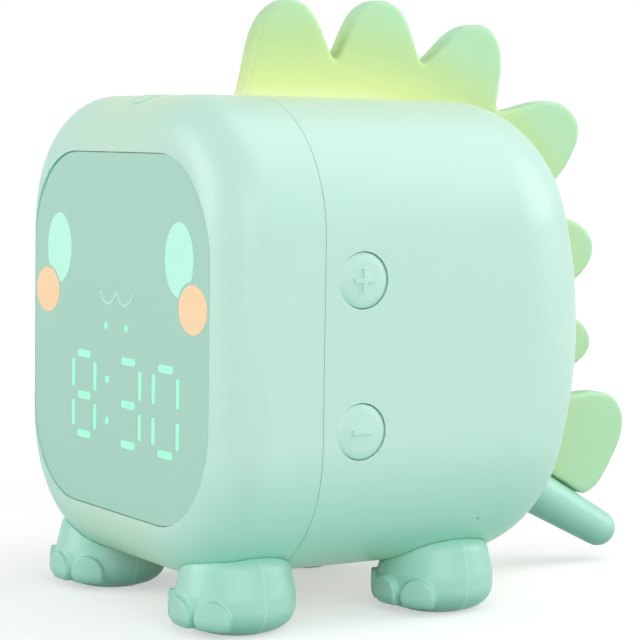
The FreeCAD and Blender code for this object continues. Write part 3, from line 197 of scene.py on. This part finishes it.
@dataclass(frozen=True)
class Finish:
    """A finish in plain numbers: two close colours that mottle, a fine surface grain, and, where one
    is given, a deeper colour on faces that look down as painted shade.

    A mould's grain is some 0.05 mm, too fine to show, so it is drawn at grain_mm. The refractive
    index stays at the shader's 1.5, which is near that of each plastic here.
    """

    name: str
    colour: str
    second: str
    roughness: float
    grain_mm: float = 0.6
    bump: float = 0.03
    bump_depth: float = 0.1 * MM
    metallic: float = 0.0
    subsurface: float = 0.0
    depth: float = 3 * MM
    tint: tuple[float, float, float] = (0.6, 1.0, 0.85)
    glow: float = 0.0
    mottle_mm: float = 14.0
    painted_shade_below: str = ""

    def start(self) -> Surface:
        """Makes the material with its shader, grain and mottled colour.

        Returns:
            The surface, whose colour is still to be painted on.
        """
        made = bpy.data.materials.new(self.name)
        made.use_nodes = True
        tree = made.node_tree
        shader = tree.nodes["Principled BSDF"]
        place = add_node(tree, "TexCoord")
        point = place.outputs["Object"]
        cloud = add_node(tree, "TexNoise", {
            "Vector": point, "Scale": 1 / (self.mottle_mm * MM), "Detail": 3.0})
        colour = add_node(tree, "MixRGB", {
            "Fac": cloud.outputs["Fac"], "Color1": self.colour, "Color2": self.second})
        # Painted shade: faces that look down are mixed towards a deeper colour, as if less light
        # reached them
        if self.painted_shade_below:
            facing = add_node(tree, "SeparateXYZ", {0: place.outputs["Normal"]}).outputs["Z"]
            down = add_node(tree, "Math", {0: facing, 1: -1.0}, operation="MULTIPLY", use_clamp=True)
            colour = add_node(tree, "MixRGB", {"Fac": down, "Color1": colour, "Color2": self.painted_shade_below})
        grain = add_node(tree, "TexNoise", {
            "Vector": point, "Scale": 1 / (self.grain_mm * MM), "Detail": 2.0})
        bump = add_node(tree, "Bump", {
            "Height": grain.outputs["Fac"], "Strength": self.bump, "Distance": self.bump_depth})
        for name, source in {
                "Normal": bump, "Roughness": self.roughness, "Metallic": self.metallic,
                "Subsurface Weight": self.subsurface, "Subsurface Scale": self.depth,
                "Subsurface Radius": self.tint}.items():
            feed(shader.inputs[name], source)
        return Surface(made, shader, point, colour.outputs["Color"])

    def build(self) -> bpy.types.Material:
        """Makes the plain form of the material."""
        surface = self.start()
        return surface.paint(surface.colour, self.glow)


# Injection-moulded ABS with a satin grain: broad soft highlights; faces that look down get a deeper
# mint as painted shade
SHELL = Finish("shell_abs", "#BFE8D8", "#C2EADB", 0.38, subsurface=0.05, painted_shade_below="#92E2C8")
# The same ABS dyed a deeper mint, which sets the feet and the tail off from the body; on the tail
# the deeper mint also paints in the shade that the tail lies in, and faces that look down get a
# still deeper mint as painted shade
FOOT = Finish("foot_abs", "#A5DCCB", "#A9DFCF", 0.38, subsurface=0.05, painted_shade_below="#6CBFA6")
# Polycarbonate printed matt on its inside: flat and even, with no sharp reflection
PANEL = Finish("panel_polycarbonate", "#A9D8C6", "#ACDAC9", 0.5, bump=0.015)
# Screen-printed ink, thin enough for the light behind to make the eyes and cheeks pale and bright
INK = Finish("ink_lit_mint", "#C0FFE8", "#BCFCE4", 0.5, glow=0.05)
CHEEK = Finish("ink_lit_peach", "#FFDCB0", "#FFD8A8", 0.5, glow=0.05)
# The same ink in a line so fine that it is only a little paler than the panel
MOUTH = Finish("ink_mouth", "#BCEAD9", "#B8E6D5", 0.5, glow=0.08)
# Moulded acrylic diffusers seen through the panel: the brightest mint on the face
DIGIT = Finish("digit_light", "#A8FFDC", "#A4FBD8", 0.5, glow=0.15)
# Moulded silicone skin lit from inside: milky, with no sharp highlight
CREST = Finish("crest_silicone", "#B2E6A8", "#B6E8AC", 0.5, subsurface=0.2)
# Moulded rubber: dull and a little rough
PAD = Finish("pad_rubber", "#C8D8D2", "#C2D2CC", 0.75, bump=0.1)
# Woven glass-fibre laminate under solder mask: dark green with a low sheen
BOARD = Finish("board_glass_fibre", "#1C5A36", "#1F613A", 0.5)
# Zinc-plated steel: mid-grey metal with blurred reflections
STEEL = Finish("zinc_steel", "#B8B8B8", "#B2B2B2", 0.35, metallic=1.0)
# Moulded nylon, foam and paper pulp, all dark and without shine
NYLON = Finish("black_nylon", "#1C1C1C", "#222222", 0.5)
FOAM = replace(NYLON, name="gasket_foam")
PAPER = replace(NYLON, name="cone_paper")
# Moulded ABS, white so that it spreads the light
WHITE = Finish("white_abs", "#EEEEEA", "#EAEAE6", 0.5)
# Clear resin cast over phosphor: pale yellow with a small highlight
CHIP = Finish("led_resin", "#F4EFCC", "#F0EBC6", 0.3)
# Shrunk PVC sleeve: smooth blue
SLEEVE = Finish("cell_sleeve", "#5A80B4", "#557BAF", 0.35)
# Rolled copper foil: warm metal
COPPER = Finish("copper_foil", "#D08A58", "#C98252", 0.35, metallic=1.0)


def select_only(thing: bpy.types.Object) -> None:
    """Makes one object the only selected and active one.

    Args:
        thing: the object.
    """
    bpy.ops.object.select_all(action="DESELECT")
    thing.select_set(True)
    bpy.context.view_layer.objects.active = thing


def joined(things: list[bpy.types.Object], name: str) -> bpy.types.Object:
    """Joins objects to one.

    Args:
        things: the objects.
        name: name of the joined object.

    Returns:
        The joined object.
    """
    select_only(things[0])
    for thing in things:
        thing.select_set(True)
    bpy.ops.object.join()
    things[0].name = name
    return things[0]


def give(thing: bpy.types.Object, material: bpy.types.Material) -> None:
    """Gives an object one material."""
    thing.data.materials.clear()
    thing.data.materials.append(material)


class Frame:
    """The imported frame: its nodes, their bodies and material slots."""

    def __init__(self) -> None:
        """Loads the frame and its record."""
        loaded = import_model()
        self.nodes = loaded["nodes"]
        bodies = loaded["record"]["behaviour"]["bodies"]
        self.body = {node: name for name, members in bodies.items() for node in members}
        self.slot = {row["node"]: row["material_slot"] for row in loaded["record"]["subparts"]}

    def smooth_copy(self, node: str, sharp_angle: float = 32.0) -> bpy.types.Object:
        """Replaces a node by a merged copy with smooth shading.

        Args:
            node: the CAD node's name.
            sharp_angle: the angle in degrees above which an edge stays sharp.

        Returns:
            The copy, riding on the node's body.
        """
        copy = self.nodes[node].copy()
        copy.data = self.nodes[node].data.copy()
        copy.name = node + "_smooth"
        for key in list(copy.keys()):
            del copy[key]
        copy.parent = None
        copy.matrix_world = Matrix.Identity(4)
        bpy.context.scene.collection.objects.link(copy)
        select_only(copy)
        bpy.ops.mesh.customdata_custom_splitnormals_clear()
        bpy.ops.object.mode_set(mode="EDIT")
        bpy.ops.mesh.select_all(action="SELECT")
        bpy.ops.mesh.remove_doubles(threshold=0.01 * MM)
        bpy.ops.object.mode_set(mode="OBJECT")
        bpy.ops.object.shade_smooth_by_angle(angle=math.radians(sharp_angle))
        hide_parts(node)
        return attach(copy, self.body[node])


@dataclass
class PlainPieces:
    """The CAD pieces that keep their shape: panel, printed films, pads and all that is inside."""

    frame: Frame
    finishes: tuple[tuple[str, Finish], ...] = (
        ("film_eye", INK), ("film_cheek", CHEEK), ("panel", PANEL), ("pad", PAD),
        ("board", BOARD), ("steel", STEEL), ("dark_plastic", NYLON), ("white_plastic", WHITE),
        ("diffuser", DIGIT), ("chip", CHIP), ("cell", SLEEVE), ("copper", COPPER),
        ("foam", FOAM), ("paper", PAPER))

    def dress(self) -> None:
        """Gives every such piece the finish of its slot."""
        materials = {slot: finish.build() for slot, finish in self.finishes}
        for node, slot in self.frame.slot.items():
            if slot in materials:
                give(self.frame.nodes[node], materials[slot])


@dataclass
class Mouth:
    """The mouth line and the two nostrils under it, printed as one film."""

    frame: Frame
    nostril_top: float = 60 * MM
    nostril_colour: str = "#A8FFDC"

    def dress(self) -> None:
        """Prints the mouth in pale ink and the nostrils in lit ink."""
        ink = MOUTH.start()
        height = add_node(ink.tree, "SeparateXYZ", {0: ink.point}).outputs["Z"]
        low = add_node(ink.tree, "Math", {0: height, 1: self.nostril_top}, operation="LESS_THAN")
        colour = add_node(ink.tree, "MixRGB", {
            "Fac": low, "Color1": ink.colour, "Color2": self.nostril_colour})
        give(self.frame.nodes["mouth_and_nostril_films"], ink.paint(colour, MOUTH.glow))


@dataclass
class Shells:
    """The two shell halves, the keys and the slider."""

    frame: Frame
    plastic: bpy.types.Material
    halves: tuple[str, ...] = ("front_shell", "rear_shell")
    others: tuple[str, ...] = ("plus_key", "minus_key", "set_key", "alarm_key",
                               "alarm_slider")
    crest_side: float = 2.75 * MM
    crest_front: float = -37 * MM
    glow_reach: float = 34 * MM
    glow_fall: float = 0.7
    glow_colours: tuple[tuple[float, str], ...] = (
        (0.0, "#F4F9C4"), (0.5, "#F2F9C8"), (0.7, "#D6F0BE"), (1.0, "#C8EBCC"))

    def lit_plastic(self) -> bpy.types.Material:
        """Makes the body plastic with the night light's glow painted along the foot of the crest.

        Returns:
            The material of the two halves.
        """
        shell = SHELL.start()
        tree = shell.tree
        place = add_node(tree, "SeparateXYZ", {0: shell.point})
        side = add_node(tree, "Math", {0: place.outputs["X"]}, operation="ABSOLUTE")
        # Clamped offsets, so that the distance is nothing inside the crest's own strip
        aside = add_node(tree, "Math", {0: side, 1: self.crest_side}, operation="SUBTRACT",
                         use_clamp=True)
        ahead = add_node(tree, "Math", {0: self.crest_front, 1: place.outputs["Y"]},
                         operation="SUBTRACT", use_clamp=True)
        share = add_node(tree, "Math", {0: long_side(tree, aside, ahead), 1: self.glow_reach},
                         operation="DIVIDE", use_clamp=True)
        left = add_node(tree, "Math", {0: 1.0, 1: share}, operation="SUBTRACT")
        fade = add_node(tree, "Math", {0: left, 1: self.glow_fall}, operation="POWER")
        glow = add_node(tree, "ValToRGB", {"Fac": share}, self.glow_colours)
        return shell.paint(add_node(tree, "MixRGB", {
            "Fac": fade, "Color1": shell.colour, "Color2": glow}))

    def dress(self) -> None:
        """Shows each piece smooth; the night light's painted glow lies on the two halves only."""
        glowing = self.lit_plastic()
        for node in self.halves:
            give(self.frame.smooth_copy(node), glowing)
        for node in self.others:
            give(self.frame.smooth_copy(node), self.plastic)


@dataclass(frozen=True)
class Softener:
    """Rounds the sharp edges of a copied piece, as moulding does."""

    voxel: float
    rounds: int
    pull: float = 0.5

    def soften(self, thing: bpy.types.Object) -> None:
        """Remeshes an object finely and smooths it.

        Args:
            thing: the object, whose place is in its mesh.
        """
        select_only(thing)
        remesh = thing.modifiers.new("even", "REMESH")
        remesh.mode = "VOXEL"
        remesh.voxel_size = self.voxel
        bpy.ops.object.modifier_apply(modifier="even")
        smooth = thing.modifiers.new("soften", "SMOOTH")
        smooth.factor = self.pull
        smooth.iterations = self.rounds
        bpy.ops.object.modifier_apply(modifier="soften")
        bpy.ops.object.shade_smooth()


@dataclass
class Feet:
    """Four feet with toe nails, and the tail in the same plastic."""

    frame: Frame
    places: tuple[str, ...] = ("front_left", "front_right", "rear_left", "rear_right")
    softener: Softener = Softener(0.3 * MM, 2)
    line_places: tuple[float, float] = (-51.6 * MM, -3.8 * MM)
    line_width: float = 0.18 * MM
    line_strength: float = 0.45
    line_colour: str = "#C4ECE0"

    def lined_plastic(self) -> bpy.types.Material:
        """Makes the foot plastic with a thin pale mould line down each outer side.

        Returns:
            The material of the feet.
        """
        foot = FOOT.start()
        tree = foot.tree
        along = add_node(tree, "SeparateXYZ", {0: foot.point}).outputs["Y"]
        front, rear = [add_node(tree, "Math", {0: along, 1: place, 2: self.line_width},
                                operation="COMPARE") for place in self.line_places]
        either = add_node(tree, "Math", {0: front, 1: rear}, operation="MAXIMUM")
        line = add_node(tree, "Math", {0: either, 1: self.line_strength}, operation="MULTIPLY")
        return foot.paint(add_node(tree, "MixRGB", {
            "Fac": line, "Color1": foot.colour, "Color2": self.line_colour}))

    def dress(self) -> None:
        """Shows each foot with softly rounded nails, and the tail smooth."""
        plastic = self.lined_plastic()
        for place in self.places:
            foot = self.frame.smooth_copy("foot_" + place)
            self.softener.soften(foot)
            give(foot, plastic)
        # The tail's deeper foot plastic also stands for painted shade, as the tail lies in shade
        # behind and below the body
        give(self.frame.smooth_copy("tail"), FOOT.build())


@dataclass
class Crest:
    """The soft crest, whose edges are rounded here and square in the frame.

    The body's outline, from which the crest's light is measured, is a level top and a rounded back
    about one centre, with the same corner radius between them.
    """

    frame: Frame
    softener: Softener = Softener(0.5 * MM, 14)
    body_top: float = 105 * MM
    body_middle: float = 57.25 * MM
    body_dome: float = 94.2 * MM
    body_corner: float = 24.2 * MM
    body_back: float = 33 * MM
    spike_reach: float = 24 * MM
    tint_share: float = 0.15
    lit_colours: tuple[tuple[float, str], ...] = (
        (0.0, "#EEF5C4"), (0.14, "#DAE9A0"), (0.5, "#C1DE9C"), (0.95, "#B6E3BC"))

    def height_over_body(self, tree: bpy.types.NodeTree, point: Source) -> bpy.types.Node:
        """Measures how far a point of the crest stands off the body.

        Args:
            tree: the material's node tree.
            point: the point's place.

        Returns:
            The node that holds the height in metres.
        """
        place = add_node(tree, "SeparateXYZ", {0: point})
        # Lengths stay far under a metre, so clamping one only keeps it from going below nothing
        up = add_node(tree, "Math", {0: place.outputs["Z"], 1: self.body_top - self.body_corner},
                      operation="SUBTRACT", use_clamp=True)
        along = add_node(tree, "Math", {0: place.outputs["Y"], 1: self.body_back - self.body_dome},
                         operation="SUBTRACT")
        rise = add_node(tree, "Math", {0: place.outputs["Z"], 1: self.body_middle},
                        operation="SUBTRACT")
        away = add_node(tree, "Math", {0: long_side(tree, along, rise),
                                       1: self.body_dome - self.body_corner},
                        operation="SUBTRACT", use_clamp=True)
        return add_node(tree, "Math", {0: long_side(tree, up, away), 1: self.body_corner},
                        operation="SUBTRACT")

    def lit_skin(self) -> bpy.types.Material:
        """Makes silicone with the light board's glow painted on: yellow where the board is near, and
        green at the tips.

        Returns:
            The material of the crest.
        """
        skin = CREST.start()
        tree = skin.tree
        share = add_node(tree, "Math", {0: self.height_over_body(tree, skin.point),
                                        1: self.spike_reach}, operation="DIVIDE")
        lit = add_node(tree, "ValToRGB", {"Fac": share}, self.lit_colours)
        return skin.paint(add_node(tree, "MixRGB", {
            "Fac": self.tint_share, "Color1": lit, "Color2": skin.colour}))

    def dress(self) -> None:
        """Shows the crest with round edges."""
        soft = self.frame.smooth_copy("crest")
        soft.name = "crest_soft"
        self.softener.soften(soft)
        give(soft, self.lit_skin())


@dataclass
class Display:
    """The lit digits that shine through the panel."""

    front: float = -64.55 * MM
    thickness: float = 0.12 * MM
    stroke: float = 1.5 * MM
    upright: float = 1.15 * MM
    reach: float = 5.05 * MM
    rows: tuple[float, float, float] = (51.4 * MM, 42.7 * MM, 34.6 * MM)
    gap: float = 2.1 * MM
    notch: float = 2.8 * MM
    faces: tuple[tuple[float, Face], ...] = (
        (-14.45 * MM, Face.EIGHT), (5.65 * MM, Face.THREE), (21.6 * MM, Face.ZERO))
    colon: float = -3.8 * MM
    dots: tuple[float, float] = (46.98 * MM, 38.5 * MM)
    end_round: float = 0.42
    end_steps: int = 5

    def bar(self, x: float, z: float, width: float, height: float) -> bpy.types.Object:
        """Makes one rounded bar on the panel.

        Args:
            x: the bar's middle across the panel.
            z: the bar's middle in height.
            width: its size across.
            height: its size upwards.

        Returns:
            The bar.
        """
        bpy.ops.object.select_all(action="DESELECT")
        bpy.ops.mesh.primitive_plane_add(size=1, location=(0, 0, 0))
        made = bpy.context.object
        bpy.ops.object.mode_set(mode="EDIT")
        bpy.ops.mesh.select_all(action="SELECT")
        bpy.ops.transform.resize(value=(width, height, 1))
        bpy.ops.mesh.bevel(offset=self.end_round * min(width, height), segments=self.end_steps,
                           affect="VERTICES")
        bpy.ops.mesh.select_all(action="SELECT")
        bpy.ops.transform.rotate(value=math.pi / 2, orient_axis="X", center_override=(0, 0, 0))
        bpy.ops.transform.translate(value=(x, self.front, z))
        bpy.ops.mesh.extrude_region_move(TRANSFORM_OT_translate={"value": (0, -self.thickness, 0)})
        bpy.ops.mesh.select_all(action="SELECT")
        bpy.ops.mesh.normals_make_consistent(inside=False)
        bpy.ops.object.mode_set(mode="OBJECT")
        return made

    def digit(self, x: float, face: Face) -> list[bpy.types.Object]:
        """Makes the lit bars of one digit.

        Args:
            x: the digit's middle across the panel.
            face: which of its segments are lit.

        Returns:
            The bars.
        """
        top, middle, bottom = self.rows
        wide = 2 * self.reach - 2 * self.gap
        upper, lower = (top + middle) / 2, (middle + bottom) / 2
        tall = top - middle - self.notch
        low = middle - bottom - self.notch
        places = [(x, top, wide, self.stroke), (x + self.reach, upper, self.upright, tall),
                  (x + self.reach, lower, self.upright, low), (x, bottom, wide, self.stroke),
                  (x - self.reach, lower, self.upright, low),
                  (x - self.reach, upper, self.upright, tall), (x, middle, wide, self.stroke)]
        return [self.bar(*place) for place, lit in zip(places, face.value) if lit]

    def dress(self) -> None:
        """Makes the digits and the colon as one piece."""
        bars = [bar for x, face in self.faces for bar in self.digit(x, face)]
        bars += [self.bar(self.colon, z, self.stroke, self.stroke) for z in self.dots]
        lit = joined(bars, "lit_digits")
        give(lit, DIGIT.build())
        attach(lit, "root")


@dataclass
class TouchMark:
    """Two raised rings that mark the touch pad at the front of the top."""

    plastic: bpy.types.Material
    shell: str = "front_shell_smooth"
    centre: tuple[float, float, float] = (0.0, -56.6 * MM, 110 * MM)
    rings: tuple[tuple[float, float], ...] = ((4.2 * MM, 3.8 * MM), (2.3 * MM, 1.9 * MM))
    height: float = 0.22 * MM
    sides: int = 72

    def ring(self, outer: float, inner: float) -> bpy.types.Object:
        """Makes one flat ring above the mark's place.

        Args:
            outer: its outer radius.
            inner: its inner radius.

        Returns:
            The ring.
        """
        bpy.ops.object.select_all(action="DESELECT")
        bpy.ops.mesh.primitive_circle_add(vertices=self.sides, radius=outer, location=(0, 0, 0))
        made = bpy.context.object
        bpy.ops.object.mode_set(mode="EDIT")
        bpy.ops.mesh.select_all(action="SELECT")
        bpy.ops.mesh.extrude_edges_move()
        bpy.ops.transform.resize(value=(inner / outer, inner / outer, 1))
        bpy.ops.mesh.select_all(action="SELECT")
        bpy.ops.transform.translate(value=self.centre)
        bpy.ops.object.mode_set(mode="OBJECT")
        return made

    def dress(self) -> None:
        """Makes the rings, lays them on the shell and thickens them."""
        mark = joined([self.ring(*radii) for radii in self.rings], "touch_mark")
        wrap = mark.modifiers.new("lay", "SHRINKWRAP")
        wrap.wrap_method = "PROJECT"
        wrap.use_project_z = True
        wrap.use_negative_direction = True
        wrap.use_positive_direction = False
        wrap.target = bpy.data.objects[self.shell]
        bpy.ops.object.modifier_apply(modifier="lay")
        thick = mark.modifiers.new("raise", "SOLIDIFY")
        thick.thickness = self.height
        thick.offset = 0
        bpy.ops.object.modifier_apply(modifier="raise")
        give(mark, self.plastic)
        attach(mark, "root")


@dataclass(frozen=True)
class Lamp:
    """One large square lamp: its place and size in metres and its power in watts."""

    name: str
    place: tuple[float, float, float]
    size: float
    watts: float

    def build(self, target: Vector) -> None:
        """Adds the lamp and points it.

        Args:
            target: the place that it points at.
        """
        data = bpy.data.lights.new(self.name, "AREA")
        data.size = self.size
        data.energy = self.watts
        thing = bpy.data.objects.new(self.name, data)
        thing.location = self.place
        thing.rotation_mode = "QUATERNION"
        thing.rotation_quaternion = (target - Vector(self.place)).to_track_quat("-Z", "Y")
        bpy.context.scene.collection.objects.link(thing)


@dataclass
class Studio:
    """Camera, lamps, floor and white surround."""

    look: tuple[float, float, float] = (0.0, -18 * MM, 58 * MM)
    turn: float = math.radians(58.168)
    rise: float = math.radians(4.505)
    roll: float = math.radians(0.862)
    distance: float = 487.479 * MM
    lens_mm: float = 128.56
    sensor_mm: float = 36.0
    shift_right: float = -1.706 * MM
    shift_up: float = -0.113 * MM
    lit_middle: tuple[float, float, float] = (0.0, 0.0, 0.06)
    lamps: tuple[Lamp, ...] = (
        Lamp("overhead", (0.08, 0.25, 0.72), 0.6, 2.0),
        Lamp("side_fill", (0.75, -0.3, 0.3), 0.7, 4.1),
        Lamp("front_fill", (-0.35, -0.8, 0.35), 0.6, 4.1),
        Lamp("rear_fill", (0.35, 0.8, 0.45), 0.6, 3.7))
    floor_size: float = 6.0
    floor_colour: str = "#CCCCCC"
    floor_roughness: float = 0.9
    near_glow: float = 0.5
    more_glow_far: float = 0.46
    glow_start: float = 0.15
    glow_length: float = 0.45
    sky_strength: float = 0.12

    def camera(self) -> None:
        """Places the camera where the photograph was taken from."""
        a, e, r = self.turn, self.rise, self.roll
        back = Vector((math.sin(a) * math.cos(e), -math.cos(a) * math.cos(e), math.sin(e)))
        right = Vector((math.cos(a), math.sin(a), 0))
        up = back.cross(right)
        across = right * math.cos(r) + up * math.sin(r)
        rising = up * math.cos(r) - right * math.sin(r)
        data = bpy.data.cameras.new("camera")
        data.sensor_width = self.sensor_mm
        data.lens = self.lens_mm
        thing = bpy.data.objects.new("camera", data)
        bpy.context.scene.collection.objects.link(thing)
        matrix = Matrix((across, rising, back)).transposed().to_4x4()
        matrix.translation = (Vector(self.look) + back * self.distance
                              - across * self.shift_right - rising * self.shift_up)
        thing.matrix_world = matrix
        bpy.context.scene.camera = thing

    def seen(self, tree: bpy.types.NodeTree) -> bpy.types.Node:
        """Tells the rays that show the surround from those that light the object.

        Args:
            tree: the node tree of the floor or the world.

        Returns:
            The node that holds 1 for a ray seen straight, in a reflection or through a piece.
        """
        rays = add_node(tree, "LightPath")
        direct = add_node(tree, "Math", {0: rays.outputs["Is Camera Ray"],
                                         1: rays.outputs["Is Glossy Ray"]}, operation="MAXIMUM")
        return add_node(tree, "Math", {0: direct, 1: rays.outputs["Is Transmission Ray"]},
                        operation="MAXIMUM")

    def floor(self) -> None:
        """Makes the pale floor, which turns to white away from the object."""
        bpy.ops.object.select_all(action="DESELECT")
        bpy.ops.mesh.primitive_plane_add(size=self.floor_size, location=(0, 0, 0))
        floor = bpy.context.object
        floor.name = "floor"
        made = bpy.data.materials.new("floor_white")
        made.use_nodes = True
        tree = made.node_tree
        point = add_node(tree, "TexCoord").outputs["Object"]
        away = add_node(tree, "VectorMath", {0: point}, operation="LENGTH").outputs["Value"]
        past = add_node(tree, "Math", {0: away, 1: self.glow_start}, operation="SUBTRACT")
        far = add_node(tree, "Math", {0: past, 1: self.glow_length}, operation="DIVIDE",
                       use_clamp=True)
        more = add_node(tree, "Math", {0: far, 1: self.more_glow_far}, operation="MULTIPLY")
        glow = add_node(tree, "Math", {0: more, 1: self.near_glow}, operation="ADD")
        shader = tree.nodes["Principled BSDF"]
        feed(shader.inputs["Base Color"], self.floor_colour)
        feed(shader.inputs["Roughness"], self.floor_roughness)
        feed(shader.inputs["Emission Color"], WHITE_LIGHT)
        feed(shader.inputs["Emission Strength"],
             add_node(tree, "Math", {0: self.seen(tree), 1: glow}, operation="MULTIPLY"))
        give(floor, made)
        floor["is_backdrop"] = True

    def sky(self) -> None:
        """Makes the white background, which lights the object only faintly."""
        world = bpy.data.worlds.new("world")
        bpy.context.scene.world = world
        world.use_nodes = True
        tree = world.node_tree
        back = tree.nodes["Background"]
        feed(back.inputs["Color"], WHITE_LIGHT)
        feed(back.inputs["Strength"], add_node(
            tree, "Math", {0: self.seen(tree), 1: self.sky_strength}, operation="MAXIMUM"))

    def build(self) -> None:
        """Sets the whole studio."""
        self.camera()
        self.floor()
        self.sky()
        for lamp in self.lamps:
            lamp.build(Vector(self.lit_middle))
        bpy.context.scene.view_settings.view_transform = "Standard"


def main() -> None:
    """Builds every sub-assembly and the studio, and reports each piece."""
    logging.basicConfig(level=logging.INFO)
    for thing in list(bpy.data.objects):
        bpy.data.objects.remove(thing)
    frame = Frame()
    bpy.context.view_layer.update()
    plastic = SHELL.build()
    for assembly in (PlainPieces(frame), Mouth(frame), Shells(frame, plastic), Feet(frame),
                     Crest(frame), Display(), TouchMark(plastic)):
        assembly.dress()
    Studio().build()
    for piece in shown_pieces():
        LOG.info("%s: %d faces", piece.name, len(piece.data.polygons))


if __name__ == "__main__":
    main()
